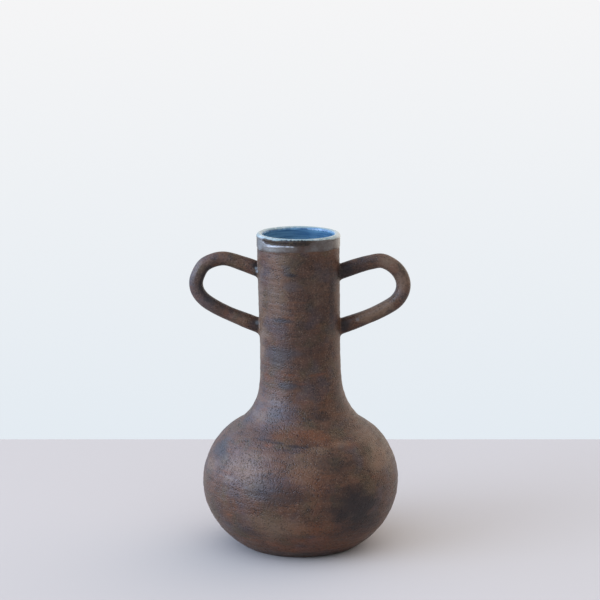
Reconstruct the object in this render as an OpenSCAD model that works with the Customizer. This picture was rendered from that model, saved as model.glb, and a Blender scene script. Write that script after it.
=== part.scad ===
// Stoneware vase: a round bulb, a tall neck luted onto its shoulder, two coil handles on the neck,
// a glaze lining, a glazed lip and a glaze band under the lip.
// Millimetres, +Z up. The origin is the middle of the foot, on the table. The handles lie along X.

/* [Bulb] */
// Radius of the bulb at its widest ring
bulb_r = 77.2; // [70:0.1:90]
// Height of the widest ring above the table
belly_z = 51.4; // [44:0.1:64]
// Radius of the foot on the table
foot_r = 44.8; // [36:0.1:54]
// Fullness of the curve below the widest ring, 2 for an ellipse
lower_fullness = 2.06; // [1.8:0.01:2.6]
// Rise from the widest ring to where the dome would close
dome_h = 59.4; // [50:0.1:70]
// Fullness of the curve above the widest ring, 2 for an ellipse
upper_fullness = 2.16; // [1.8:0.01:2.6]
// Wall of the bulb
bulb_wall = 5; // [3:0.1:8]
// Floor, from the table to the clay inside
floor_t = 7; // [5:0.1:12]
// Width of the ring that the foot stands on
foot_ring_w = 8; // [4:0.1:14]
// Depth of the turned recess inside that ring
foot_recess = 1.8; // [0.6:0.1:3]

/* [Neck] */
// Radius of the crease where the neck's skirt meets the bulb
shoulder_r = 45.6; // [40:0.1:52]
// Thickness of the slip in that joint
slip_t = 0.8; // [0.4:0.1:2]
// Height of the neck, from the slip to the top of the lip
neck_h = 148; // [125:0.5:180]
// Height of the flared skirt
flare_h = 52.5; // [40:0.1:62]
// How late the skirt turns outwards, 1 for a straight cone
flare_power = 3.65; // [2:0.05:5]
// Radius of the neck above the skirt
neck_r = 31.5; // [28:0.1:38]
// Radius of the clay at the rim
rim_r = 32.3; // [28:0.1:37]
// Wall of the neck
neck_wall = 3.8; // [2.8:0.1:6]

/* [Handles] */
// Diameter of the coil that the handles are bent from
coil_d = 10.8; // [8:0.1:14]
// How far the coil swells all round where it is bent
bend_swell = 0.1; // [0.06:0.01:0.6]
// Reach of the coil's middle from the neck's axis
handle_reach = 81; // [74:0.1:95]
// Drop from the lip to the left handle's upper root
left_upper_drop = 29; // [22:0.1:36]
// Drop from the lip to the right handle's upper root
right_upper_drop = 31; // [24:0.1:38]
// Drop from the lip to the lower roots
lower_drop = 74.6; // [66:0.1:86]
// Slope of the upper arms, rising outwards, in degrees
upper_rise = 18; // [6:0.5:28]
// Slope of the lower arms, rising outwards, in degrees
lower_rise = 22.5; // [8:0.5:30]
// Length of the clay collar round each root
collar_len = 5; // [3:0.1:9]
// Thickness of the collar at the neck
collar_root_t = 1.5; // [0.8:0.1:3]
// Thickness of the collar at its outer edge
collar_edge_t = 0.4; // [0.2:0.1:0.7]

/* [Glaze] */
// Thickness of the lining
lining_t = 0.7; // [0.4:0.1:1.5]
// Thickness of the glaze over the lip
lip_t = 0.6; // [0.3:0.1:1.2]
// Thickness of the band outside the rim
band_t = 0.4; // [0.2:0.1:1]
// Height of the band, below the lip
band_h = 7.6; // [4:0.1:14]

/* [Hidden] */

// Straight pieces along each curved stretch of a profile
steps = 24;
lip_steps = 12;
// Facets round a turned shape and round the coil
$fn = 128;
// How far a cutter runs past what it cuts, and an arm runs into the bend
past = 1;

clay_colour = "#5b463b";
slip_colour = "#4a3a33";
lining_colour = "#5f9bc0";
lip_colour = "#9fb3b3";
band_colour = "#6f7775";

// Angles along the bulb's curves at the foot and at the crease
foot_angle = acos(pow(foot_r / bulb_r, lower_fullness / 2));
shoulder_angle = acos(pow(shoulder_r / bulb_r, upper_fullness / 2));

// Depth below the widest ring at which the lower curve would close
lower_h = belly_z / pow(sin(foot_angle), 2 / lower_fullness);
shoulder_z = belly_z + dome_h * pow(sin(shoulder_angle), 2 / upper_fullness);

skirt_z = shoulder_z + slip_t;
flare_top_z = skirt_z + flare_h;
rim_z = skirt_z + neck_h;

// The lip is a half round on the neck's wall
lip_clay_r = neck_wall / 2;
lip_mid_r = rim_r - lip_clay_r;
lip_z = rim_z - lip_t - lip_clay_r;
band_z = lip_z - band_h;

coil_r = coil_d / 2;
lower_root_z = rim_z - lower_drop;
left_upper_z = rim_z - left_upper_drop;
right_upper_z = rim_z - right_upper_drop;

function reversed(path) = [for (i = [len(path) - 1:-1:0]) path[i]];

// A point of a rounded arch: full width at 0 degrees, full height at 90
function arch(width, height, fullness, angle) =
    [width * pow(cos(angle), 2 / fullness), height * pow(sin(angle), 2 / fullness)];

// The bulb's curve, set in from the outside by a wall, from one angle below the widest ring to the crease
function bulb_curve(wall, low_angle) = concat(
    [for (i = [steps:-1:1])
        let (p = arch(bulb_r - wall, lower_h - wall, lower_fullness, low_angle * i / steps))
        [p[0], belly_z - p[1]]],
    [for (i = [0:steps])
        let (p = arch(bulb_r - wall, dome_h - wall, upper_fullness, shoulder_angle * i / steps))
        [p[0], belly_z + p[1]]]
);

// The inside of the bulb, from the middle of the floor to the crease, set in further by a coat of glaze
function bulb_inside(coat) =
    let (wall = bulb_wall + coat)
    let (depth = belly_z - floor_t - coat)
    let (floor_angle = asin(pow(depth / (lower_h - wall), lower_fullness / 2)))
    concat([[0, floor_t + coat]], bulb_curve(wall, floor_angle));

// A skirt that sweeps in from its root to the straight neck
function skirt_curve(root, straight_r) =
    let (spread = root[0] - straight_r)
    let (height = flare_top_z - root[1])
    [for (i = [0:steps])
        let (u = 1 - i / steps)
        [straight_r + spread * pow(u, flare_power), flare_top_z - height * u]];

// Radius of the straight neck at a height
function neck_at(z) = neck_r + (rim_r - neck_r) * (z - flare_top_z) / (lip_z - flare_top_z);

// The lower edge of the band lies on the neck, and its top is where the lip begins
band_foot = [neck_at(band_z), band_z];
band_top = [rim_r, lip_z];

function neck_outside() = concat(skirt_curve([shoulder_r, skirt_z], neck_r), [band_foot, band_top]);

function joint_inside(coat) =
    let (wall = bulb_wall + coat)
    let (p = arch(bulb_r - wall, dome_h - wall, upper_fullness, shoulder_angle))
    [p[0], belly_z + p[1]];

function neck_inside(coat) = concat(
    skirt_curve(joint_inside(coat) + [0, slip_t], neck_r - neck_wall - coat),
    [[rim_r - neck_wall - coat, lip_z]]
);

function whole_inside(coat) = concat(bulb_inside(coat), neck_inside(coat));

// The half round over the rim, from the outside to the inside
function lip_arc(r) =
    [for (i = [0:lip_steps])
        let (angle = 180 * i / lip_steps)
        [lip_mid_r + r * cos(angle), lip_z + r * sin(angle)]];

// Radius of the bend that is tangent to both arms and stops at the handle's reach
function bend_r(upper_z) =
    (upper_z - lower_root_z
        - neck_at(upper_z) * tan(upper_rise) + neck_at(lower_root_z) * tan(lower_rise)
        + handle_reach * (tan(upper_rise) - tan(lower_rise)))
    / (1 / cos(upper_rise) + 1 / cos(lower_rise) + tan(upper_rise) - tan(lower_rise));

// Middle of that bend
function bend_mid(upper_z) =
    let (r = bend_r(upper_z))
    let (x = handle_reach - r)
    [x, upper_z + tan(upper_rise) * (x - neck_at(upper_z)) - r / cos(upper_rise)];

module turned(path) {
    rotate_extrude() polygon(path);
}

// The neck as a solid of its outer shape, which cuts the handles and collars to fit it
module neck_core() {
    turned(concat([[0, skirt_z]], neck_outside(), [[0, lip_z]]));
}

module bulb() {
    recess_r = foot_r - foot_ring_w;
    color(clay_colour)
    turned(concat(
        [[0, foot_recess], [recess_r - foot_recess, foot_recess], [recess_r, 0]],
        bulb_curve(0, foot_angle),
        reversed(bulb_inside(0))
    ));
}

module shoulder_slip() {
    outer = [shoulder_r, shoulder_z];
    inner = joint_inside(0);
    rise = [0, slip_t];
    color(slip_colour)
    turned([outer, outer + rise, inner + rise, inner]);
}

module neck() {
    lip = lip_arc(lip_clay_r);
    color(clay_colour)
    turned(concat(neck_outside(), [for (i = [1:lip_steps - 1]) lip[i]], reversed(neck_inside(0))));
}

// A straight arm of the coil, from just inside the bend to the middle of the neck
module arm(bend_end_x, rise) {
    translate([0, 0, -past])
    cylinder(d = coil_d, h = (bend_end_x - neck_r / 2) / cos(rise) + past);
}

// A handle on the +X side: the bend, and an arm at each end of it
module handle(upper_z) {
    r = bend_r(upper_z);
    mid = bend_mid(upper_z);
    color(clay_colour)
    difference() {
        translate([mid[0], 0, mid[1]])
        rotate([90, 0, 0])
        union() {
            rotate(lower_rise - 90)
            rotate_extrude(angle = 180 + upper_rise - lower_rise)
            translate([r, 0])
            circle(r = coil_r + bend_swell);

            rotate(lower_rise - 90)
            translate([r, 0, 0])
            rotate([90, 0, 0])
            arm(mid[0] + r * sin(lower_rise), lower_rise);

            rotate(upper_rise + 90)
            translate([r, 0, 0])
            rotate([-90, 0, 0])
            arm(mid[0] - r * sin(upper_rise), upper_rise);
        }
        neck_core();
    }
}

// The clay round one root of a handle on the +X side
module collar(root_z, rise) {
    inside = coil_d;
    taper = (collar_root_t - collar_edge_t) / collar_len;
    inner_end_r = coil_r + collar_root_t + taper * inside;
    color(clay_colour)
    difference() {
        translate([neck_at(root_z), 0, root_z])
        rotate([0, 90 - rise, 0])
        difference() {
            translate([0, 0, -inside])
            cylinder(r1 = inner_end_r, r2 = coil_r + collar_edge_t, h = inside + collar_len);
            translate([0, 0, -inside - past])
            cylinder(d = coil_d, h = inside + collar_len + 2 * past);
        }
        neck_core();
    }
}

// A half turn brings a handle to the other side, as it is the same front and back
module left_side() {
    rotate(180) children();
}

module left_handle() {
    left_side() handle(left_upper_z);
}

module left_upper_collar() {
    left_side() collar(left_upper_z, upper_rise);
}

module left_lower_collar() {
    left_side() collar(lower_root_z, lower_rise);
}

module right_handle() {
    handle(right_upper_z);
}

module right_upper_collar() {
    collar(right_upper_z, upper_rise);
}

module right_lower_collar() {
    collar(lower_root_z, lower_rise);
}

module glaze_lining() {
    color(lining_colour)
    turned(concat(whole_inside(0), reversed(whole_inside(lining_t))));
}

module lip_glaze() {
    color(lip_colour)
    turned(concat(lip_arc(lip_clay_r + lip_t), reversed(lip_arc(lip_clay_r))));
}

module rim_band() {
    color(band_colour)
    turned([band_foot, band_foot + [band_t, band_t], band_top + [band_t, 0], band_top]);
}

bulb();
shoulder_slip();
neck();
left_handle();
left_upper_collar();
left_lower_collar();
right_handle();
right_upper_collar();
right_lower_collar();
glaze_lining();
lip_glaze();
rim_band();
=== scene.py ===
import itertools
import math
import bmesh
import bpy
import numpy as np
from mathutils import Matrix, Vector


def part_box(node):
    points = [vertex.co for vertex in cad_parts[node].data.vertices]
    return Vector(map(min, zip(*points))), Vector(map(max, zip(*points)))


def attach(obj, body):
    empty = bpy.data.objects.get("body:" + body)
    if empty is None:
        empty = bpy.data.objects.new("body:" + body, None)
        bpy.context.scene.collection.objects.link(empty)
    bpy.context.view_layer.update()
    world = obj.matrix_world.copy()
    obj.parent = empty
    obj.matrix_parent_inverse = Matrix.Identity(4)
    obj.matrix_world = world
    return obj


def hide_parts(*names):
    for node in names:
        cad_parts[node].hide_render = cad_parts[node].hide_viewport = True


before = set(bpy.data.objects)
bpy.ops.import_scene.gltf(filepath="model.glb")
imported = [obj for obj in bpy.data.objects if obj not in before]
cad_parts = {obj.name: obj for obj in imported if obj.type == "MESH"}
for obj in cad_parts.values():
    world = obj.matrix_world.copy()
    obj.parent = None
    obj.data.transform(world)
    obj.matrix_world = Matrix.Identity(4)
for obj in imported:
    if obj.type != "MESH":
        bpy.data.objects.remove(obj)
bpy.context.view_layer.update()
print("frame loaded:", len(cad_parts), "solids")

# Sizes are in millimetres until makePiece turns them to metres.
# Angles run round the pot from the front, towards +X, so x = r sin(a) and y = -r cos(a).
mm = 0.001
mmPerMetre = 1000


# the low and high corners of a solid's box, in mm
def boxMm(node):
    low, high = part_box(node)
    return np.array(low) * mmPerMetre, np.array(high) * mmPerMetre


bulbHigh = boxMm("bulb")[1]
slipHigh = boxMm("shoulder_slip")[1]
lipLow = boxMm("lip_glaze")[0]

# sizes that the boxes give, and the curve values that the solids are turned with
pot = {
    "bulbRadius": bulbHigh[0],
    "creaseHeight": bulbHigh[2],
    "skirtFoot": slipHigh[2],
    "skirtRadius": slipHigh[0],
    "lipHeight": lipLow[2],
    "bellyHeight": 51.4,
    "footRadius": 44.8,
    "lowerFullness": 2.06,
    "domeHeight": 59.4,
    "upperFullness": 2.16,
    "bulbWall": 5.0,
    "floorThickness": 7.0,
    "flareHeight": 52.5,
    "flarePower": 3.65,
    "neckRadius": 31.5,
    "rimRadius": 32.3,
    "neckWall": 3.8,
    "liningThickness": 0.7,
    "axisGap": 1,  # where a profile stops short of the axis, and a middle point closes it
}

# how hand work is off true, at heights up the pot: the axis wanders along X, the radius varies
handWork = {
    "lean": ((0, 0.6), (35, 0.2), (65, 0.6), (95, 0.8), (112, 1.4), (131, 0.7), (165, 0.0), (205, -0.8),
             (228, -1.35), (250, -1.4)),
    "pinch": ((0, -0.1), (18, -0.2), (40, 0.0), (60, 0.2), (75, -0.4), (93, 0.4), (102, 0.0),
              (145, 0.1), (162, -0.25), (190, 0.0)),
    "heights": (-40, 320),
    "easeOver": 17,
    "swell": 0.15,
    # waves of the swell: how many go round, share, mm of height that turn them by a radian, and start
    "waves": ((2, 1.0, 55, 0.8), (3, 0.6, -38, 2.1)),
    "swellFrom": (2, 14),
    "fullSwellRadius": 20,
}


# 0 up to low, 1 from high, and 3t^2 - 2t^3 between them; it runs down where low is the larger
def smoothStep(low, high, value):
    t = np.clip((value - low) / (high - low), 0, 1)
    return t * t * (3 - 2 * t)


# values at heights, joined by straight lines and averaged over a stretch of mm, to round corners
def easedCurve(points):
    heights = np.arange(*handWork["heights"])
    place, value = zip(*points)
    window = np.hanning(handWork["easeOver"])
    eased = np.convolve(np.interp(heights, place, value), window / window.sum(), "same")
    return lambda z: np.interp(z, heights, eased)


leanAt = easedCurve(handWork["lean"])
pinchAt = easedCurve(handWork["pinch"])


# slow waves of the radius round the pot, drifting with height, plus the pinch
def swellAt(angle, z):
    wave = 0
    for count, share, drift, start in handWork["waves"]:
        wave = wave + share * np.cos(count * angle + z / drift + start)
    return handWork["swell"] * wave * smoothStep(*handWork["swellFrom"], z) + pinchAt(z)


# the block of random values that a cloud repeats, and a shift that keeps its cells positive
lattice = {"side": 24, "shift": 1000}


# smooth random field from 0 to 1, in lumps of about size mm: random values on a lattice, eased between
def cloud(points, size, seed):
    side = lattice["side"]
    values = np.random.default_rng(seed).random((side, side, side))
    place = points / size + lattice["shift"]
    cell = np.floor(place).astype(int)
    part = place - cell
    part = part * part * (3 - 2 * part)
    total = np.zeros(points.shape[:-1])
    for corner in itertools.product((0, 1), repeat=3):
        index = (cell + corner) % side
        weight = np.prod(np.where(corner, part, 1 - part), axis=-1)
        total += weight * values[index[..., 0], index[..., 1], index[..., 2]]
    return total


# three clouds, each half the size and weight of the one before, brought to -1 to 1
def fractalCloud(points, size, seed, octaves=3):
    total = sum(cloud(points, size / 2**k, seed + k) / 2**k for k in range(octaves))
    middle = sum(0.5 / 2**k for k in range(octaves))
    return total / middle - 1


# the length walked along a polyline, at each of its points
def lengthAlong(path):
    return np.r_[0, np.cumsum(np.linalg.norm(np.diff(path, axis=0), axis=1))]


# a polyline walked at equal steps
def evenly(path, count):
    path = np.asarray(path, float)
    along = lengthAlong(path)
    steps = np.linspace(0, along[-1], count)
    return np.stack([np.interp(steps, along, path[:, k]) for k in range(path.shape[1])], axis=1)


# stretches of a profile joined end to end, without doubling the point where they meet
def joined(*stretches):
    parts = [stretches[0]]
    for stretch in stretches[1:]:
        same = np.allclose(parts[-1][-1], stretch[0])
        parts.append(stretch[1:] if same else stretch)
    return np.concatenate(parts)


# a rounded arch: width * cos(t)^(2/n) out and height * sin(t)^(2/n) up
def arch(width, height, fullness, angles):
    power = 2 / fullness
    return np.stack([width * np.cos(angles) ** power, height * np.sin(angles) ** power], axis=1)


footAngle = math.acos((pot["footRadius"] / pot["bulbRadius"]) ** (pot["lowerFullness"] / 2))
creaseAngle = math.acos((pot["skirtRadius"] / pot["bulbRadius"]) ** (pot["upperFullness"] / 2))
lowerHeight = pot["bellyHeight"] / math.sin(footAngle) ** (2 / pot["lowerFullness"])
flareTop = pot["skirtFoot"] + pot["flareHeight"]


# the bulb's curve set in by a wall, from an angle below the widest ring up to the crease
def bulbCurve(wall, lowAngle, count=400):
    radius = pot["bulbRadius"] - wall
    below = np.linspace(lowAngle, 0, count)
    above = np.linspace(0, creaseAngle, count)
    low = arch(radius, lowerHeight - wall, pot["lowerFullness"], below)
    high = arch(radius, pot["domeHeight"] - wall, pot["upperFullness"], above)
    low[:, 1] = pot["bellyHeight"] - low[:, 1]
    high[:, 1] = pot["bellyHeight"] + high[:, 1]
    return joined(low, high)


# the inside of the bulb from the edge of the floor to the joint, under a coat of glaze
def bulbInside(coat):
    wall = pot["bulbWall"] + coat
    depth = pot["bellyHeight"] - pot["floorThickness"] - coat
    share = depth / (lowerHeight - wall)
    return bulbCurve(wall, math.asin(share ** (pot["lowerFullness"] / 2)))


# the skirt's sweep, straightRadius + spread * u^power, and the straight neck above it
def neckCurve(root, straightRadius, topRadius, top, count=300):
    u = np.linspace(1, 0, count)[:, None]
    spread = root[0] - straightRadius
    height = flareTop - root[1]
    skirt = np.hstack([straightRadius + spread * u ** pot["flarePower"], flareTop - height * u])
    return joined(skirt, np.array([skirt[-1], [topRadius, top]]))


# the neck's outer profile, from the joint to the lip
def neckOutside():
    root = (pot["skirtRadius"], pot["skirtFoot"])
    return neckCurve(root, pot["neckRadius"], pot["rimRadius"], pot["lipHeight"])


# the straight neck's outer radius at a height, widening evenly from the flare to the lip
def neckRadiusAt(z):
    share = (z - flareTop) / (pot["lipHeight"] - flareTop)
    return pot["neckRadius"] + (pot["rimRadius"] - pot["neckRadius"]) * share


# the neck's bore under a coat of glaze, from the joint to the lip
def neckInside(coat):
    root = bulbInside(coat)[-1] + (0, pot["skirtFoot"] - pot["creaseHeight"])
    bore = pot["neckRadius"] - pot["neckWall"] - coat
    return neckCurve(root, bore, pot["rimRadius"] - pot["neckWall"] - coat, pot["lipHeight"])


# a half round over the rim, from the outside to the inside
def lipArc(radius, count):
    middle = pot["rimRadius"] - pot["neckWall"] / 2
    t = np.linspace(0, math.pi, count)
    return np.stack([middle + radius * np.cos(t), pot["lipHeight"] + radius * np.sin(t)], axis=1)


# equal angles once round, as one row
def columnAngles(columns):
    return np.linspace(0, 2 * math.pi, columns, endpoint=False)[None, :]


# points at a radius, height and angle about an axis that is shifted along X
def polar(r, z, angle, shift=0):
    return np.stack([r * np.sin(angle) + shift, -r * np.cos(angle), z + 0 * angle], axis=-1)


# the same with the swell and the lean of the pot
def placed(r, z, angle):
    r = r + swellAt(angle, z) * np.minimum(1, r / handWork["fullSwellRadius"])
    return polar(r, z, angle, leanAt(z))


# the angle from the front in degrees, -180 to 180, of points on the pot
def degreesOf(points):
    return np.degrees(np.arctan2(points[..., 0] - leanAt(points[..., 2]), -points[..., 1]))


# a profile turned about the axis, each point pushed out along the profile's normal
def turned(path, columns, push):
    angle = columnAngles(columns)
    tangent = np.gradient(path, axis=0)
    normal = np.stack([tangent[:, 1], -tangent[:, 0]], axis=1)
    normal /= np.linalg.norm(normal, axis=1, keepdims=True) + 1e-9
    radius, height = path[:, :1], path[:, 1:]
    depth = push(angle, radius, height)
    return placed(radius + normal[:, :1] * depth, height + normal[:, 1:] * depth, angle)


# the quads of a grid whose columns close on themselves, and whose rows may too
def gridQuads(rows, columns, closedRows):
    last = rows if closedRows else rows - 1
    i = np.arange(last)[:, None]
    j = np.arange(columns)[None, :]
    a = i * columns + j
    b = i * columns + (j + 1) % columns
    c = (i + 1) % rows * columns + (j + 1) % columns
    d = (i + 1) % rows * columns + j
    return np.stack([a, b, c, d], axis=-1).reshape(-1, 4)


sharpDegrees = 50  # edges that bend more than this are shaded sharp


# one closed piece from a grid of points: rows that close into a loop, or rows capped at both ends by a
# middle point. Each layer is a value from 0 to 1 at every point, for the material to read.
def makePiece(name, grid, closedRows, material, node, layers):
    rows, columns = grid.shape[:2]
    points = grid.reshape(-1, 3)
    faces = gridQuads(rows, columns, closedRows).tolist()
    if not closedRows:
        j = np.arange(columns)
        k = (j + 1) % columns
        top = (rows - 1) * columns
        cap = np.full(columns, len(points))
        faces += np.stack([cap, k, j], axis=-1).tolist()
        faces += np.stack([cap + 1, top + j, top + k], axis=-1).tolist()
        points = np.concatenate([points, grid[:1].mean(axis=1), grid[-1:].mean(axis=1)])
    mesh = bpy.data.meshes.new(name)
    mesh.from_pydata((points * mm).tolist(), [], faces)
    work = bmesh.new()
    work.from_mesh(mesh)
    bmesh.ops.recalc_face_normals(work, faces=work.faces)
    work.to_mesh(mesh)
    work.free()
    mesh.polygons.foreach_set("use_smooth", np.ones(len(mesh.polygons), bool))
    mesh.set_sharp_from_angle(angle=math.radians(sharpDegrees))
    for layer, compute in layers.items():
        values = np.clip(compute(points), 0, 1).astype(np.float32)
        mesh.attributes.new(layer, "FLOAT", "POINT").data.foreach_set("value", values)
    mesh.materials.append(material)
    piece = bpy.data.objects.new(name, mesh)
    bpy.context.scene.collection.objects.link(piece)
    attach(piece, "root")
    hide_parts(node)
    print("piece:", name, len(mesh.vertices), "points")


# an sRGB hex colour as linear red, green and blue, with 1 for alpha
def linear(hexColour):
    channels = [int(hexColour[k:k + 2], 16) / 255 for k in (1, 3, 5)]
    return tuple(c / 12.92 if c <= 0.04045 else ((c + 0.055) / 1.055) ** 2.4 for c in channels) + (1.0,)


# adds a node: its attributes and socket values come from settings, and links join its sockets to another
# node's first output or to a given socket
def addNode(tree, kind, settings=None, links=None):
    node = tree.nodes.new("ShaderNode" + kind)
    for key, value in (settings or {}).items():
        if isinstance(key, int) or key in node.inputs:
            node.inputs[key].default_value = value
        else:
            setattr(node, key, value)
    for key, source in (links or {}).items():
        socket = source if isinstance(source, bpy.types.NodeSocket) else source.outputs[0]
        tree.links.new(socket, node.inputs[key])
    return node


# the product of some fields: each is taken whole, by its name, or over a range that is made 0 to 1, or
# 1 to 0 where it runs down
def overlap(tree, fields, ranges, amount=1.0):
    mask = None
    for item in ranges:
        field, low, high = (item, 0, 1) if isinstance(item, str) else item
        settings = {"From Min": low, "From Max": high, "To Max": amount if mask is None else 1.0}
        share = addNode(tree, "MapRange", settings, {"Value": fields[field]})
        if mask is None:
            mask = share
        else:
            mask = addNode(tree, "Math", {"operation": "MULTIPLY"}, {0: mask, 1: share})
    return mask


# a fired finish from its settings. Its fields are noise in lumps of so many mm, cells, layers painted on
# the mesh, and masks that combine them. Colours, and values of roughness, are laid one over another by
# masks. Bumps stand one on another, with depths in mm, sunk where the depth is negative.
def makeFinish(name, finish):
    material = bpy.data.materials.new(name)
    material.use_nodes = True
    tree = material.node_tree
    tree.nodes.clear()
    where = addNode(tree, "TexCoord").outputs["Object"]
    fields = {}
    for field, (size, detail, roughness, stretch) in finish["noise"].items():
        place = addNode(tree, "Mapping", {"Scale": (1, 1, stretch)}, {"Vector": where})
        settings = {"Scale": mmPerMetre / size, "Detail": detail, "Roughness": roughness}
        fields[field] = addNode(tree, "TexNoise", settings, {"Vector": place})
    for field, spacing in finish.get("cells", {}).items():
        fields[field] = addNode(tree, "TexVoronoi", {"Scale": mmPerMetre / spacing}, {"Vector": where})
    for field, share in finish.get("layers", {}).items():
        fields[field] = addNode(tree, "Attribute", {"attribute_name": field}).outputs["Fac"]
        if share:
            links = {0: fields[finish["frayBy"]], 2: fields[field]}
            fields[field] = addNode(tree, "Math", {"operation": "MULTIPLY_ADD", 1: share}, links)
    for field, ranges in finish.get("masks", {}).items():
        fields[field] = overlap(tree, fields, ranges)
    settings, links = {1: linear(finish["ground"])}, {}
    for colour, amount, *ranges in finish["coats"]:
        mask = overlap(tree, fields, ranges, amount)
        coat = addNode(tree, "MixRGB", {2: linear(finish[colour]), **settings}, {0: mask, **links})
        settings, links = {}, {1: coat}
    sockets = {"Base Color": coat}
    settings, links = {"A": finish["shader"]["Roughness"]}, {}
    for value, *ranges in finish.get("roughness", ()):
        mask = overlap(tree, fields, ranges)
        sockets["Roughness"] = addNode(tree, "Mix", {"B": value, **settings}, {"Factor": mask, **links})
        settings, links = {}, {"A": sockets["Roughness"]}
    for field, depth in finish["bumps"]:
        links = {"Height": fields[field]}
        if "Normal" in sockets:
            links["Normal"] = sockets["Normal"]
        settings = {"Distance": abs(depth) * mm, "invert": depth < 0}
        sockets["Normal"] = addNode(tree, "Bump", settings, links)
    shader = addNode(tree, "BsdfPrincipled", finish["shader"], sockets)
    addNode(tree, "OutputMaterial", None, {"Surface": shader})
    print("material:", name, len(tree.nodes), "nodes")
    return material


# dark stoneware: iron-bearing clay, coil built and scraped, brushed with oxide, rubbed back, fired bare.
# It gives a satin brown with blue-black smudges, rusty bands, pores where grit came out and brush lines.
# Some pale patches are painted sheen and highlight, many dark discs on the handles painted shade, and
# the wide grey-blue splash on the handles a painted sheen.
# The fired skin is dry and porous, so it returns only about half the gloss of a glaze.
stoneware = {
    "ground": "#32221a",
    "brown": "#50382d",
    "warm": "#5d3d29",
    "rust": "#693e27",
    # pale brown, also used as painted sheen on the bulb, flare and neck and as painted highlight on the
    # right handle
    "pale": "#6b5646",
    "olive": "#463c2c",
    "slate": "#3c3a42",
    "bloom": "#403e42",
    # dark oxide colour, also used as painted shade on the handles and at their roots
    "stainAndShade": "#241f21",
    "pore": "#140e0d",
    "fleck": "#7d6a5e",
    # grey-blue glaze flecks, and where spread wide and faint on the handles, a painted sheen
    "splashAndSheen": "#818c96",
    # size in mm, octaves, roughness and how many times shorter it is up the pot than round it.
    # Grain and pits are drawn coarser than real grit, which is under half a mm, so that they show.
    "noise": {
        "mottle": (9.0, 4.0, 0.62, 1.0),
        "brush": (20.0, 3.0, 0.65, 9.0),
        "hairs": (10.0, 3.0, 0.6, 11.0),
        "grain": (1.0, 2.0, 0.6, 1.0),
        "oliveDrift": (15.0, 3.0, 0.5, 1.0),
        "slateDrift": (19.0, 3.0, 0.5, 1.0),
        "speckle": (3.4, 3.0, 0.7, 1.0),
    },
    "cells": {"pits": 1.7},
    # painted layers, and the share of the speckle that frays each
    "layers": {"pale": 0.5, "rust": 0.5, "stainAndShade": -0.6, "bloom": 0.5, "splashAndSheen": 0, "grit": 0},
    "frayBy": "speckle",
    # pores come in drifts where the mottle is low, and the neck was scraped smoother than the bulb
    "masks": {
        "pores": (("pits", 0.46, 0.20), ("mottle", 0.70, 0.40)),
        "openPores": ("pores", "grit"),
        "standingGrain": ("grain", "grit"),
        "brushLines": ("brush", "grit"),
        "hairLines": ("hairs", "grit"),
    },
    "coats": (
        ("brown", 1.0, ("mottle", 0.25, 0.60)),
        ("warm", 0.6, ("brush", 0.45, 0.70)),
        ("olive", 0.6, ("oliveDrift", 0.50, 0.66)),
        ("slate", 0.5, ("slateDrift", 0.52, 0.68)),
        ("ground", 0.3, ("hairs", 0.50, 0.36)),
        ("pale", 0.75, ("pale", 0.37, 1.05)),
        ("rust", 0.8, ("rust", 0.37, 1.05)),
        ("fleck", 0.5, ("grain", 0.54, 0.72)),
        ("stainAndShade", 0.9, ("stainAndShade", -0.18, 0.50)),
        ("bloom", 0.7, ("bloom", 0.37, 1.05)),
        ("pore", 0.55, "pores"),
        ("splashAndSheen", 1.0, "splashAndSheen"),
    ),
    "roughness": ((0.52, ("brush", 0.3, 0.7)),),
    "bumps": (("openPores", -0.3), ("brushLines", 0.15), ("hairLines", 0.08), ("standingGrain", 0.25)),
    "shader": {"IOR": 1.5, "Specular IOR Level": 0.25, "Roughness": 0.34},
}
clay = makeFinish("dark stoneware, oxide washed and rubbed back", stoneware)

# blue glaze: poured in, swirled and poured out, then fired to gloss.
# It gives a wet, even shine over the turning rings, deep blue where thin and sky blue where thick.
blueCoat = {
    "ground": "#34587b",
    "thick": "#6a96b3",
    "noise": {"rings": (46.0, 3.0, 0.6, 15.0), "drift": (18.0, 2.0, 0.5, 1.0)},
    "coats": (("thick", 1.0, ("rings", 0.35, 0.75)), ("thick", 0.4, ("drift", 0.5, 0.8))),
    "bumps": (("rings", 0.10), ("drift", 0.3)),
    "shader": {"IOR": 1.52, "Roughness": 0.10},
}
blueGlaze = makeFinish("blue gloss glaze, poured and fired", blueCoat)
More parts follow.
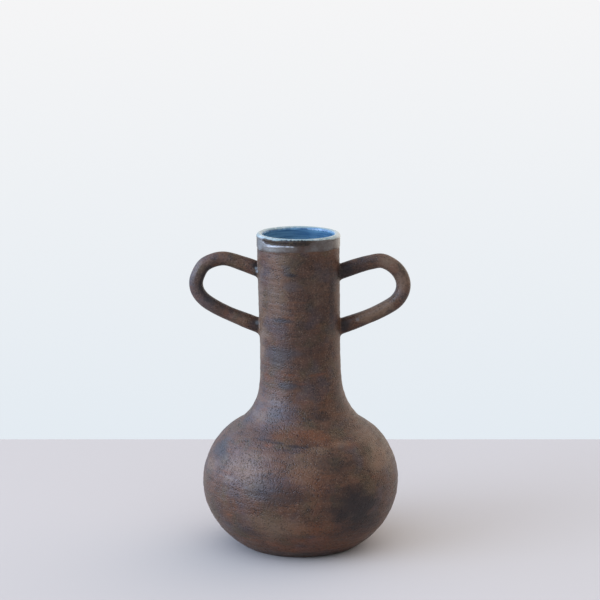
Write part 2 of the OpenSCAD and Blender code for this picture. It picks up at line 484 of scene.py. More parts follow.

# rim glaze: the lining's glaze carried over the lip and wiped thin down the outside, fired to gloss.
# It gives a pale turquoise line on the lip, a grey veil over the brown clay, a dry dark run where it
# broke, and a white bead where it gathered under the run, painted pale as a highlight. Its milky grey at
# the sides of the rim is partly a painted reflection.
rimCoat = {
    "ground": "#3f2f28",
    "veil": "#625f5e",
    "veilThin": "#504a46",
    # milky grey, partly a painted reflection at the sides of the rim
    "milkAndReflection": "#959795",
    # pale colour of the bead, a painted highlight under the run
    "bead": "#a6a8ae",
    "lip": "#7d9298",
    "lipThick": "#aab2b3",
    "lipThin": "#587173",
    "run": "#2a1d14",
    "runOlive": "#3b2f1e",
    "spot": "#080707",
    "poolDeep": blueCoat["ground"],
    "poolThick": blueCoat["thick"],
    "noise": {
        "cloudy": (5.0, 3.0, 0.6, 1.0),
        "thin": (3.2, 2.0, 0.5, 1.0),
        "fine": (1.1, 2.0, 0.6, 1.0),
    },
    "layers": {"coat": 0, "milkAndReflection": 0, "run": 0, "bead": 0, "lip": 0, "spots": 0, "pool": 0},
    "coats": (
        ("veilThin", 1.0, "coat"),
        ("veil", 1.0, "coat", ("cloudy", 0.30, 0.60)),
        ("milkAndReflection", 0.6, "coat", "milkAndReflection"),
        ("ground", 0.5, ("fine", 0.62, 0.75)),
        ("run", 1.0, "run"),
        ("runOlive", 1.0, "run", ("thin", 0.45, 0.65)),
        ("spot", 0.85, "run", ("fine", 0.52, 0.66)),
        ("bead", 1.0, "bead"),
        ("lip", 1.0, "lip"),
        ("lipThick", 1.0, "lip", ("cloudy", 0.50, 0.70)),
        ("lipThin", 0.8, "lip", ("thin", 0.55, 0.72)),
        ("lipThick", 1.0, "lip", "milkAndReflection"),
        ("spot", 0.85, "spots"),
        ("poolDeep", 1.0, "pool"),
        ("poolThick", 1.0, "pool", ("cloudy", 0.35, 0.75)),
    ),
    "roughness": ((0.32, ("cloudy", 0.3, 0.7)), (0.7, "run")),
    "bumps": (("cloudy", 0.12), ("fine", 0.03)),
    "shader": {"IOR": 1.5, "Specular IOR Level": 0.4, "Roughness": 0.12},
}
lipGlaze = makeFinish("pale gloss glaze, over the lip", rimCoat)
rimGlaze = makeFinish("grey gloss glaze, wiped thin", rimCoat)

# where the oxide lies, with some painted sheen among the pale patches: angle in degrees, height, half
# width, half height and strength, and the rise to the right of a patch that slants
oxideAndSheen = {
    "stainAndShade": [
        # bulb, front
        (31, 54, 24, 12, 0.6), (37, 42, 16, 9, 1.0), (33, 47, 24, 14, 0.8), (26, 42, 14, 8, 0.75),
        (42, 30, 28, 14, 0.72), (-14, 60, 24, 13, 0.54), (-20, 71, 15, 4, 0.45),
        (25, 79, 23, 9, 0.45), (-68, 81.5, 15, 6, 0.55), (-30, 95.6, 9, 1.1, 0.55),
        (-19, 94.6, 8, 1.0, 0.65), (-5, 93.0, 8, 1.2, 0.7, -0.04), (3, 92.6, 6, 0.9, 0.5),
        (-12, 90.8, 9, 0.9, 0.5), (-5, 89.2, 7, 0.8, 0.3), (-33, 25, 16, 4, 0.5),
        (-60, 42, 16, 9, 0.3), (10, 5, 40, 5, 0.4),
        # neck, front
        (-20, 158, 16, 9, 0.45), (-42, 158, 11, 9, 0.45), (-18, 134, 12, 6, 0.55),
        (-24, 185.5, 11, 2.2, 0.75), (52, 203, 4, 34, 0.5), (74, 219, 10, 8, 0.6),
        (-10, 221.8, 6, 1.7, 1.0), (-9, 213, 7, 6, 0.4), (-20, 112, 14, 7, 0.45),
        (21, 110, 17, 4, 0.5), (60, 122, 9, 18, 0.3), (20, 205, 24, 38, 0.34),
        (-2, 232, 9, 8, 0.35), (12, 165, 28, 28, 0.32),
        # sides and back
        (118, 58, 28, 14, 0.7), (168, 82, 20, 8, 0.5), (-150, 44, 30, 12, 0.7, 0.1),
        (-112, 70, 18, 9, 0.5), (150, 131, 16, 7, 0.6), (-160, 168, 18, 9, 0.6),
        (112, 190, 10, 20, 0.4), (-132, 216, 9, 6, 0.5), (-118, 118, 14, 6, 0.5),
        (178, 28, 26, 6, 0.45), (94, 98, 20, 3, 0.4), (150, 95, 14, 1.0, 0.7, 0.1),
    ],
    "rust": [
        # shoulder and bulb, front
        (-14, 98, 14, 4, 0.45), (12, 98.5, 18, 4, 0.5), (4, 96, 30, 4, 0.3), (22, 94, 18, 5, 0.4),
        (-26, 92.6, 5, 1.3, 0.6), (-47, 37, 5, 1.5, 0.6), (9, 34.6, 5, 1.3, 0.6),
        (26, 28, 4, 1.3, 0.6), (48, 67, 4, 1.3, 0.5), (10, 30, 25, 9, 0.45), (4, 11, 60, 9, 0.6),
        (6, 19, 30, 9, 0.5), (-36, 44, 14, 5, 0.3), (8, 50, 8, 10, 0.3), (62, 80, 16, 10, 0.3),
        (45, 24, 26, 12, 0.55), (4, 68, 30, 15, 0.37), (38, 91, 10, 4, 0.4),
        # neck, front
        (-56, 138, 7, 5, 0.5), (-16, 143, 8, 1.3, 0.5), (28, 143, 12, 1.8, 0.5, 0.03),
        (4, 136, 7, 1.2, 0.35), (4, 122, 12, 4, 0.3), (30, 125, 14, 8, 0.25),
        # sides and back
        (140, 97, 34, 5, 0.6), (-150, 95, 30, 5, 0.5), (170, 145, 20, 3, 0.5),
        (-120, 148, 16, 2.5, 0.5), (100, 34, 26, 8, 0.35), (-165, 66, 20, 5, 0.3),
    ],
    "bloom": [
        # grey-blue bloom on the stains, front
        (-32, 157, 15, 10, 0.6), (-20, 134, 9, 5, 0.6), (-24, 185.5, 10, 2, 0.4),
        (-17, 226, 5, 6, 0.5), (-10, 212, 7, 5, 0.45), (-68, 82, 14, 5, 0.2),
        (-33, 112, 11, 8, 0.45), (52, 176, 8, 8, 0.3),
        # sides and back
        (120, 60, 16, 8, 0.5), (-150, 46, 18, 7, 0.5), (-158, 168, 10, 6, 0.5),
        (150, 132, 9, 5, 0.5), (-112, 70, 12, 6, 0.4),
    ],
    "pale": [
        # bulb and neck, front. The patches at (-36, 77) and (-55, 108) are painted sheen, and the one at
        # (-80, 190) a painted highlight down the neck's left edge
        (-15, 31, 30, 13, 0.6), (62, 82, 18, 12, 0.9), (54, 79, 12, 12, 0.6), (60, 93, 18, 6, 0.5),
        (2, 77, 19, 12, 0.5), (13, 90.5, 14, 3.6, 0.7), (31, 92.5, 13, 3, 0.55),
        (-1, 87.5, 12, 2.6, 0.45), (-72, 70, 15, 5, 0.6), (-48, 65, 10, 4.5, 0.5),
        (-55, 108, 12, 6, 0.5), (-34, 231, 13, 8, 0.4), (-36, 77, 22, 11, 0.6),
        (-34, 205, 14, 26, 0.45), (-80, 190, 14, 64, 0.9), (28, 210, 10, 18, 0.3),
        (40, 150, 14, 14, 0.25), (68, 58, 8, 16, 0.25),
        # sides and back
        (130, 34, 28, 12, 0.5), (-140, 80, 20, 10, 0.5), (160, 200, 14, 20, 0.3),
        (-100, 30, 24, 10, 0.5),
    ],
}

# how the patches fray: share, size of the lumps in mm, seed and how much flatter the lumps are.
# Patches lower than fullHeight fray less, and each fades from its edge to its middle.
patch = {"fray": (0.75, 20, 11, 3.5), "fullHeight": 4, "fade": (1.35, 0.25)}


# a random field from -share to share that frays a border
def frayed(points, share, size, seed, flatter):
    return share * fractalCloud(points * (1, 1, flatter), size, seed)


# the oxide at each point, with its painted sheen: the strongest of some soft ellipses on the wall, with
# frayed edges
def oxideAndSheenLayer(name):
    def compute(points):
        angle = np.radians(degreesOf(points))
        radius = np.hypot(points[:, 0], points[:, 1])
        ragged = frayed(points, *patch["fray"])
        total = np.zeros(len(points))
        for degrees, height, halfWidth, halfHeight, strength, *rise in oxideAndSheen[name]:
            across = np.angle(np.exp(1j * (angle - math.radians(degrees)))) * radius
            up = points[:, 2] - height - sum(rise) * across
            away = np.hypot(across / halfWidth, up / halfHeight)
            away = away + min(1, halfHeight / patch["fullHeight"]) * ragged
            total = np.maximum(total, strength * smoothStep(*patch["fade"], away))
        return total
    return compute


# how rough the clay was left: 1 on the bulb, smoother up the neck and on the handles
grit = {"neck": 0.5, "heights": (100, 135)}


# the grit at each point, passing from the bulb's to the neck's between two heights
def gritLayer(points):
    return 1 + (grit["neck"] - 1) * smoothStep(*grit["heights"], points[:, 2])


clayLayers = {name: oxideAndSheenLayer(name) for name in oxideAndSheen}
clayLayers["grit"] = gritLayer


# 0 at the lip, easing to 1 a fade below it
def belowLip(height, fade):
    return smoothStep(pot["lipHeight"], pot["lipHeight"] - fade, height)


# relief of the clay wall: turning ridges, and the lumps of coils that were scraped smooth
relief = {
    # spacing, depth and turns of each set of ridges, and the share of the radius that carries them in
    "ridges": ((4.3, 0.045, 1), (7.1, 0.05, 2), (12.7, 0.06, -1)),
    "slant": 0.35,
    # depth, size, seed and flatness of the lumps
    "lumps": (0.22, 20.0, 5, 1),
    "neckShare": 0.7,
    "footFade": (0.5, 8),
    "lipFade": 14,
}


# how far the wall stands out: spiral sines up the wall, plus lumps, fading out at the foot and the lip
def clayPush(angle, radius, height):
    along = height + radius * relief["slant"]
    depth = frayed(polar(radius, height, angle), *relief["lumps"])
    for spacing, deep, turns in relief["ridges"]:
        depth = depth + deep * np.sin(2 * math.pi * along / spacing + turns * angle)
    depth = depth * (1 + (relief["neckShare"] - 1) * smoothStep(*grit["heights"], height))
    return depth * smoothStep(*relief["footFade"], height) * belowLip(height, relief["lipFade"])


# the relief on a profile's first rows, set proud of it, and none on the rest
def reliefOn(path, rows, proud=0):
    shown = (np.arange(len(path)) < rows)[:, None]
    return lambda angle, radius, height: (clayPush(angle, radius, height) + proud) * shown


# a curve from one point to another, drawn towards a corner: (1-t)^2 A + 2t(1-t) C + t^2 B
def bent(start, corner, end, count):
    t = np.linspace(0, 1, count).reshape(-1, *[1] * start.ndim)
    return (1 - t) ** 2 * start + 2 * t * (1 - t) * corner + t**2 * end


# bulb: foot recess, foot ring with a soft edge, outer curve, joint bevel, inner curve and floor
bulb = {
    "recessDepth": 1.8,
    "ringWidth": 8.0,
    "edge": 1.4,
    "columns": 400,
    "underRows": 9,
    "edgeRows": 9,
    "outerRows": 150,
    "innerRows": 36,
    "floorRows": 6,
}


# the profile from under the foot, up the outside and down to the floor, turned
def makeBulb():
    b = bulb
    deep = b["recessDepth"]
    ringInside = pot["footRadius"] - b["ringWidth"]
    under = np.array([[pot["axisGap"], deep], [ringInside - deep, deep], [ringInside, 0]])
    outer = bulbCurve(0, footAngle)
    start = np.argmax(outer[:, 1] > b["edge"])
    edgeFrom = np.array([pot["footRadius"] - b["edge"], 0])
    edgeBy = np.array([pot["footRadius"], 0])
    edge = bent(edgeFrom, edgeBy, outer[start], b["edgeRows"])
    outer = evenly(outer[start:], b["outerRows"])
    inner = evenly(bulbInside(0)[::-1], b["innerRows"])
    floor = evenly([inner[-1], [pot["axisGap"], pot["floorThickness"]]], b["floorRows"])
    path = joined(evenly(under, b["underRows"]), edge, outer, inner, floor)
    shown = len(path) - b["innerRows"] - b["floorRows"]
    grid = turned(path, b["columns"], reliefOn(path, shown))
    makePiece("bulb_wall", grid, False, clay, "bulb", clayLayers)


makeBulb()

# neck: skirt and straight wall outside, half round over the rim, and the bore
neck = {"columns": 288, "outerRows": 150, "lipRows": 10, "innerRows": 40}


# the profile up the outside, over the rim and down the bore, turned
def makeNeck():
    outer = evenly(neckOutside(), neck["outerRows"])
    over = lipArc(pot["neckWall"] / 2, neck["lipRows"])
    inner = evenly(neckInside(0)[::-1], neck["innerRows"])
    path = joined(outer, over, inner)
    grid = turned(path, neck["columns"], reliefOn(path, neck["outerRows"]))
    makePiece("neck_wall", grid, True, clay, "neck", clayLayers)


makeNeck()

# slip: clay cream in the joint, smeared over it to a hollow curve between dome and skirt
slip = {"reach": 3.6, "proud": 0.02, "columns": 400, "rows": 14, "walkSteps": 3000}


# a bent curve over the joint, from the dome to the skirt, and the bevel behind it, turned
def makeSlip():
    dome = evenly(bulbCurve(0, footAngle), slip["walkSteps"])
    skirt = evenly(neckOutside(), slip["walkSteps"])
    onDome = dome[np.argmax(np.linalg.norm(dome - dome[-1], axis=1) < slip["reach"])]
    onSkirt = skirt[np.argmax(np.linalg.norm(skirt - skirt[0], axis=1) > slip["reach"])]
    corner = (dome[-1] + skirt[0]) / 2
    curve = bent(onDome, corner, onSkirt, slip["rows"])
    inside = bulbInside(0)[-1]
    rise = np.array([0, pot["skirtFoot"] - pot["creaseHeight"]])
    path = np.concatenate([curve, [skirt[0], inside + rise, inside, dome[-1]]])
    grid = turned(path, slip["columns"], reliefOn(path, slip["rows"], slip["proud"]))
    makePiece("joint_slip", grid, True, clay, "shoulder_slip", clayLayers)


makeSlip()

# lining: the glaze inside, floor to lip, with the turning rings showing through
lining = {
    "ringDepth": 0.12,
    "ringSpacing": 5.2,
    "lipFade": 4,
    "columns": 288,
    "rows": 170,
    "backRows": 40,
}


# up along the clay's inside and down along the glaze's face, turned
def makeLining():
    def wholeInside(coat):
        wall = joined(bulbInside(coat), neckInside(coat))
        return joined(np.array([[pot["axisGap"], wall[0][1]], wall[0]]), wall)
    back = evenly(wholeInside(0), lining["backRows"])
    face = evenly(wholeInside(pot["liningThickness"])[::-1], lining["rows"])
    path = joined(back, face)

    # a sine up the wall that turns once round, on the face alone, fading out at the lip
    def push(angle, radius, height):
        onFace = (np.arange(len(path)) >= lining["backRows"])[:, None]
        rings = np.sin(2 * math.pi * height / lining["ringSpacing"] + angle)
        return lining["ringDepth"] * rings * onFace * belowLip(height, lining["lipFade"])
    grid = turned(path, lining["columns"], push)
    makePiece("lining_coat", grid, False, blueGlaze, "glaze_lining", {})


makeLining()

# how the rim's glaze lies, as pairs of an angle from the front in degrees and a value there: the veil's
# strength and lower edge, how milky it is, partly a painted reflection, the lip's lower edge, the bead's
# height and strength, the bead painted pale as a highlight, and the run's lower edge. Fades are in mm,
# radii or degrees.
rim = {
    "veil": ((-180, 0.7), (-140, 0.5), (-90, 0.8), (-55, 0.95), (-10, 0.9), (-1, 0.1), (8, 0.0),
             (21, 0.45), (60, 0.55), (72, 0.8), (90, 0.9), (120, 0.5), (150, 0.8), (180, 0.7)),
    "edge": ((-180, 240), (-110, 239), (-70, 237.5), (-50, 237.9), (-30, 238.3), (-10, 239.3),
             (10, 239.7), (40, 239.5), (90, 238.8), (140, 238.8), (180, 240)),
    "milkAndReflection": ((-180, 0.1), (-90, 0.3), (-60, 0.25), (-36, 0.35), (-22, 0.0), (40, 0.0), (58, 0.25),
             (75, 0.7), (95, 0.5), (120, 0.2), (180, 0.1)),
    "lipLine": ((-180, 248.6), (-80, 247.8), (-50, 248.7), (-36, 248.2), (-28, 248.3), (-20, 249.1),
                (20, 249.0), (40, 248.5), (60, 247.9), (85, 247.0), (120, 248.0), (180, 248.6)),
    "beadLine": ((-60, 242.4), (-52, 242.7), (-30, 243.5), (-18, 244.1), (-4, 244.0)),
    "bead": ((-56, 0), (-49, 0.3), (-44, 0.9), (-31, 0.9), (-24, 0.45), (-18, 0.1), (-14, 0.7),
             (-11, 0.3), (-8, 0.7), (-5, 0)),
    "beadHalf": 0.55,
    "beadFade": (1.4, 0.4),
    "runFrom": (-61, -54),
    "runTo": (21, 10),
    "runFade": 0.3,
    "runLine": ((-64, 247.6), (-56, 245.4), (-49, 244.4), (-5, 244.3), (8, 244.8), (17, 246.0),
                (24, 247.6)),
    "veilRagged": 0.5,
    "edgeRagged": 0.8,
    "edgeFade": (-1.2, 2.0),
    "lipFade": (-0.35, 0.25),
    "poolRadius": 28.5,
    "poolFade": 0.35,
    # black specks along the top of the run
    "spots": ((-23, 248.3), (-16, 248.6), (-10, 248.8), (-5, 248.5), (0, 248.7), (5, 248.8),
              (9, 248.5)),
    "spotRadius": 0.9,
    "spotFade": (1.3, 0.5),
    # how the borders fray: share in mm, degrees or radii, size of the lumps in mm, seed and flatness
    "frays": {
        "veil": (1, 6, 31, 1),
        "veilDegrees": (6, 4, 35, 1),
        "milkAndReflectionDegrees": (5, 6, 33, 1),
        "run": (0.45, 3.5, 37, 1.6),
        "runDegrees": (6, 3, 41, 1),
        "spots": (0.4, 2, 51, 1),
        "bead": (0.5, 2.4, 45, 1),
        "lip": (0.55, 3.2, 43, 0.3),
        "pool": (0.3, 6, 49, 1),
    },
}


# a value of the rim at angles round it, joined by straight lines
def roundThePot(name, degrees):
    place, value = zip(*rim[name])
    return np.interp(degrees, place, value)


# 1 along the dark run, easing to 0 past its two ends
def runWindow(degrees):
    return smoothStep(*rim["runFrom"], degrees) * smoothStep(*rim["runTo"], degrees)


# distance from the leaning axis
def radiusOf(points):
    return np.hypot(points[..., 0] - leanAt(points[..., 2]), points[..., 1])


# a random field that frays a border of the rim's glaze
def rimFray(points, name):
    return frayed(points, *rim["frays"][name])


# the veil: its strength round the pot, made ragged, above its lower edge
def veilLayer(points):
    ragged = rimFray(points, "veil")
    degrees = degreesOf(points)
    above = points[:, 2] - roundThePot("edge", degrees) + rim["edgeRagged"] * ragged
    veil = roundThePot("veil", degrees + rimFray(points, "veilDegrees"))
    return veil * (1 + rim["veilRagged"] * ragged) * smoothStep(*rim["edgeFade"], above)


# how milky the veil is round the pot, partly a painted reflection, strongest near the right side
def milkAndReflectionLayer(points):
    return roundThePot("milkAndReflection", degreesOf(points) + rimFray(points, "milkAndReflectionDegrees"))


# the dark run: above its lower edge and between its ends, outside only
def runLayer(points):
    z = points[:, 2] + rimFray(points, "run")
    degrees = degreesOf(points) + rimFray(points, "runDegrees")
    outside = radiusOf(points) > pot["rimRadius"] - pot["neckWall"] / 2
    low = roundThePot("runLine", degrees)
    return smoothStep(low - rim["runFade"], low + rim["runFade"], z) * runWindow(degrees) * outside


# the specks: small frayed discs on the wall
def spotsLayer(points):
    degrees = degreesOf(points)
    ragged = rimFray(points, "spots")
    total = np.zeros(len(points))
    for place, height in rim["spots"]:
        across = np.radians(degrees - place) * pot["rimRadius"]
        away = np.hypot(across, points[:, 2] - height) / rim["spotRadius"] + ragged
        total = np.maximum(total, smoothStep(*rim["spotFade"], away))
    return total


# the bead, painted pale as a highlight: a frayed stripe along its line, with its strength round the pot
def beadAndHighlightLayer(points):
    degrees = degreesOf(points)
    away = np.abs(points[:, 2] - roundThePot("beadLine", degrees)) / rim["beadHalf"]
    away = away + rimFray(points, "bead")
    return roundThePot("bead", degrees) * smoothStep(*rim["beadFade"], away)


# the pale lip: all that lies above its frayed lower edge
def lipLayer(points):
    z = points[:, 2] + rimFray(points, "lip")
    line = roundThePot("lipLine", degreesOf(points))
    low, high = rim["lipFade"]
    return smoothStep(line + low, line + high, z)


# the blue pool: all that lies nearer the axis than its frayed edge
def poolLayer(points):
    r = radiusOf(points) + rimFray(points, "pool")
    return smoothStep(rim["poolRadius"] + rim["poolFade"], rim["poolRadius"] - rim["poolFade"], r)


rimLayers = {
    "coat": veilLayer,
    "milkAndReflection": milkAndReflectionLayer,
    "run": runLayer,
    "spots": spotsLayer,
    "bead": beadAndHighlightLayer,
    "lip": lipLayer,
    "pool": poolLayer,
}

# lip: glaze over the half round of the rim
lip = {
    "thickness": 0.6,
    "sunk": 0.2,
    "wobble": (0.07, 5, 47, 1),
    "columns": 480,
    "rows": 28,
    "backRows": 8,
}


# a half round outside the clay's and one inside it, turned
def makeLip():
    clayRadius = pot["neckWall"] / 2
    face = lipArc(clayRadius + lip["thickness"], lip["rows"])
    back = lipArc(clayRadius - lip["sunk"], lip["backRows"])[::-1]

    # a slow wobble of the face, none at its two edges
    def push(angle, radius, height):
        over = np.sin(np.linspace(0, math.pi, lip["rows"]))
        shown = np.r_[over, np.zeros(lip["backRows"])][:, None]
        return frayed(placed(radius, height, angle), *lip["wobble"]) * shown
    grid = turned(np.concatenate([face, back]), lip["columns"], push)
    makePiece("lip_coat", grid, True, lipGlaze, "lip_glaze", rimLayers)


makeLip()

# band: a thin coat on the neck under the lip, with a wavy lower edge and a ledge under the dark run
band = {
    "thin": 0.10,
    "thick": 0.32,
    "ledge": 0.3,
    "ledgeHalf": 0.8,
    "runThins": 0.85,
    "runFade": (-0.7, 0.3),
    "lipBlend": 1.6,
    "wobble": (0.06, 4, 59, 1),
    # the lower edge wanders with a field read round a circle
    "wander": (0.9, 9, 53, 1),
    "wanderRadius": 30,
    "edgeRise": 1.3,
    "edgeTuck": 0.08,
    "tuckOver": 0.3,
    "sunk": 0.4,
    "columns": 480,
    "rows": 64,
}


# the neck's radius plus a coat, which is thin + thick * veil + ledge * exp(-d^2), less where the run is,
# eased to the lip's thickness at the top and to nothing at the lower edge
def makeBand():
    b = band
    angle = columnAngles(b["columns"])
    degrees = np.degrees(np.angle(np.exp(1j * angle)))
    circle = polar(b["wanderRadius"], 0, angle)
    edge = roundThePot("edge", degrees) + frayed(circle, *b["wander"])
    z = edge + (pot["lipHeight"] - edge) * np.linspace(0, 1, b["rows"])[:, None]
    wall = neckRadiusAt(z)
    wall = wall + clayPush(angle, wall, z)
    coat = b["thin"] + b["thick"] * roundThePot("veil", degrees)
    fromBead = (z - roundThePot("beadLine", degrees)) / b["ledgeHalf"]
    coat = coat + b["ledge"] * roundThePot("bead", degrees) * np.exp(-(fromBead**2))
    fromRun = z - roundThePot("runLine", degrees)
    coat = coat * (1 - b["runThins"] * runWindow(degrees) * smoothStep(*b["runFade"], fromRun))
    nearLip = smoothStep(pot["lipHeight"] - b["lipBlend"], pot["lipHeight"], z)
    coat = np.maximum(coat, lip["thickness"] * nearLip)
    coat = coat + frayed(placed(wall, z, angle), *b["wobble"])
    tuck = b["edgeTuck"] * smoothStep(b["tuckOver"], 0, z - edge)
    coat = coat * smoothStep(0, b["edgeRise"], z - edge) - tuck
    grid = np.concatenate([placed(wall + coat, z, angle), placed(wall - b["sunk"], z, angle)[::-1]])
    makePiece("band_coat", grid, True, rimGlaze, "rim_band", rimLayers)


makeBand()

# handles: a rolled coil bent to an ear. Points along its middle, from the upper root to the lower one,
# give the distance out and the height
handles = {
    "left": {
        "side": -1,
        "radius": 5.45,
        "points": ((31.0, 220.3), (33.6, 221.2), (45.4, 225.6), (60.3, 229.4), (73.9, 225.0),
                   (79.9, 215.8), (81.2, 208.4), (78.7, 201.2), (71.4, 194.0), (56.2, 185.8),
                   (33.0, 176.2), (29.8, 174.8)),
    },
    "right": {
        "side": 1,
        "radius": 5.65,
        "points": ((28.7, 218.0), (31.6, 219.0), (44.3, 223.4), (54.5, 226.2), (64.0, 227.5),
                   (73.0, 223.1), (78.8, 216.2), (80.9, 208.7), (79.5, 201.6), (75.1, 195.3),
                   (67.8, 190.3), (56.5, 184.6), (45.6, 180.2), (31.4, 175.1), (29.0, 174.2)),
    },
}
# oxide on each handle, as seen from the front: distance out, height, radius and strength. Many of the
# dark discs are painted shade: in the inner bends, under the left upper arm, at the roots, and on the
# right handle's outer bend and lower edge. The pale discs on the right lower arm are a painted
# highlight, and the two wide splash discs a faint painted sheen.
handleOxideShadeAndSheen = {
    "left": {
        "stainAndShade": ((69.5, 220.2, 6, 0.75), (73.6, 215.4, 6, 0.8), (75.2, 210.5, 6, 0.85),
                  (74.8, 205.6, 6, 0.85), (72, 201, 6, 0.8), (66.8, 197, 5.5, 0.7), (60, 193, 5, 0.6),
                  (53.9, 190, 5, 0.55), (46, 186.6, 5, 0.45), (60.3, 223.9, 3.5, 0.6),
                  (46.9, 220.4, 3, 0.4), (81, 213, 9, 0.45), (63, 190, 8, 0.4), (66, 229.5, 5, 0.35),
                  (34.5, 224.5, 3.2, 1.0), (33, 217, 4, 0.7), (34, 178, 6, 0.7)),
        "rust": ((56, 186, 7, 0.28), (46, 182, 6, 0.28), (60, 231, 7, 0.25), (40, 222, 5, 0.3)),
        "pale": ((50, 181, 9, 0.35), (58, 229, 7, 0.25), (47, 224, 8, 0.3)),
        "splashAndSheen": ((34.2, 222.6, 1.2, 0.9), (33.6, 220.2, 1.3, 0.75), (33.4, 179.4, 1.7, 0.32),
                   (82, 208, 26, 0.036)),
    },
    "right": {
        "stainAndShade": ((36, 219.5, 9.5, 0.75), (47, 223, 9, 0.5), (58, 226.5, 6, 0.2), (84.5, 214, 4, 0.2),
                  (84.6, 206, 4, 0.2), (81, 199, 4, 0.15), (72, 217, 3.5, 0.25), (74.6, 207, 3, 0.2),
                  (71, 202, 3.5, 0.25), (60, 181.5, 4, 0.4), (70, 187.5, 4, 0.45), (48, 176.5, 4, 0.35),
                  (34.5, 176.5, 6.7, 0.75)),
        "rust": ((73, 222.5, 5, 0.4), (45, 177, 5, 0.12), (77, 197, 4, 0.35)),
        "pale": ((68, 226, 9, 0.7), (79, 211, 9, 0.7), (65, 192.5, 9, 0.9), (58, 188.5, 8, 0.95),
                 (51, 185, 8, 0.8)),
        "splashAndSheen": ((45.2, 181.8, 1.3, 0.25), (78, 218, 28, 0.036)),
    },
}
# the coil is thicker near its roots, by a distance along it from either end
coil = {
    "rootSwell": 0.45,
    "swellOver": (28, 7),
    "lumps": (0.16, 11.0, 21, 1),
    "rows": 170,
    "columns": 56,
    "smoothings": 3,
}
# how the discs of oxide, painted shade and painted highlight on a handle fray and fade, as on the pot
disc = {"fray": (0.4, 7, 61, 1), "fade": (1.3, 0.3)}


# a smooth curve through the points: cubic pieces with the slope at each point taken from its neighbours
def curveThrough(points, count, finer=4):
    p = np.asarray(points, float)
    slope = np.gradient(p, axis=0)
    t = np.linspace(0, len(p) - 1, count * finer)
    i = np.minimum(t.astype(int), len(p) - 2)
    u = (t - i)[:, None]
    leaving = (2 * u**3 - 3 * u**2 + 1) * p[i] + (u**3 - 2 * u**2 + u) * slope[i]
    reaching = (3 * u**2 - 2 * u**3) * p[i + 1] + (u**3 - u**2) * slope[i + 1]
    return evenly(leaving + reaching, count)


# the oxide, painted shade and painted highlight on a handle: soft discs in the plane of the handle,
# frayed by a random field
def discLayer(name, layerName):
    def compute(points):
        ragged = frayed(points, *disc["fray"])
        outward = handles[name]["side"] * points[:, 0]
        total = np.zeros(len(points))
        for out, height, radius, strength in handleOxideShadeAndSheen[name][layerName]:
            away = np.hypot(outward - out, points[:, 2] - height) / radius + ragged
            total = np.maximum(total, strength * smoothStep(*disc["fade"], away))
        return total
    return compute


# all the layers of a handle: its oxides with their painted shade and highlight, and the grit of the neck
def handleLayers(name):
    layers = {layerName: discLayer(name, layerName) for layerName in handleOxideShadeAndSheen[name]}
    layers["grit"] = gritLayer
    return layers


# a round section carried along a flat curve: middle + radius * (normal cos t + Y sin t)
def makeHandle(name):
    h = handles[name]
    middle = curveThrough(h["points"], coil["rows"])
    for _ in range(coil["smoothings"]):
        middle[1:-1] = (middle[:-2] + 2 * middle[1:-1] + middle[2:]) / 4
    tangent = np.gradient(middle, axis=0)
    tangent /= np.linalg.norm(tangent, axis=1, keepdims=True)
    along = lengthAlong(middle)[:, None]
    fromRoot = np.minimum(along, along[-1] - along)
    t = columnAngles(coil["columns"])
    radius = h["radius"] + coil["rootSwell"] * smoothStep(*coil["swellOver"], fromRoot)
    outX = middle[:, :1] + radius * np.cos(t) * -tangent[:, 1:]
    z = middle[:, 1:] + radius * np.cos(t) * tangent[:, :1]
    grid = np.stack([h["side"] * outX, radius * np.sin(t), z], axis=-1)
    lump = frayed(grid, *coil["lumps"])
    core = np.stack([h["side"] * middle[:, 0], 0 * middle[:, 0], middle[:, 1]], axis=-1)[:, None, :]
    grid = grid + (grid - core) / h["radius"] * lump[..., None]
    layers = handleLayers(name)
    makePiece(name + "_coil_handle", grid, False, clay, name + "_handle", layers)
    return middle, tangent


# the neck's outer surface at an angle and height, with its relief, swell and lean
def onNeck(angle, z):
    r = neckRadiusAt(z)
    return polar(r + clayPush(angle, r, z) + swellAt(angle, z), z, angle, leanAt(z))


# collars: clay thumbed into the corner between coil and neck, reaching further underneath
collar = {
    "reach": 1.9,
    "under": 1.5,
    "underFrom": (0.5, -1),  # cosine of the angle round the coil, 1 on top
    "proud": 0.04,
    "sunk": 0.9,
    "passing": (0.2, 2.4),
    "columns": 56,
    "rows": 10,
}


# the oxide and painted shade on a collar: the neck's where it lies on the neck, passing to the handle's
# over a few mm
def collarLayers(name):
    onCoil = handleLayers(name)

    def passing(layer):
        def compute(points):
            share = smoothStep(*collar["passing"], radiusOf(points) - pot["neckRadius"])
            return share * onCoil[layer](points) + (1 - share) * clayLayers[layer](points)
        return compute
    layers = {layer: passing(layer) for layer in onCoil if layer in clayLayers}
    layers["splashAndSheen"] = onCoil["splashAndSheen"]
    return layers


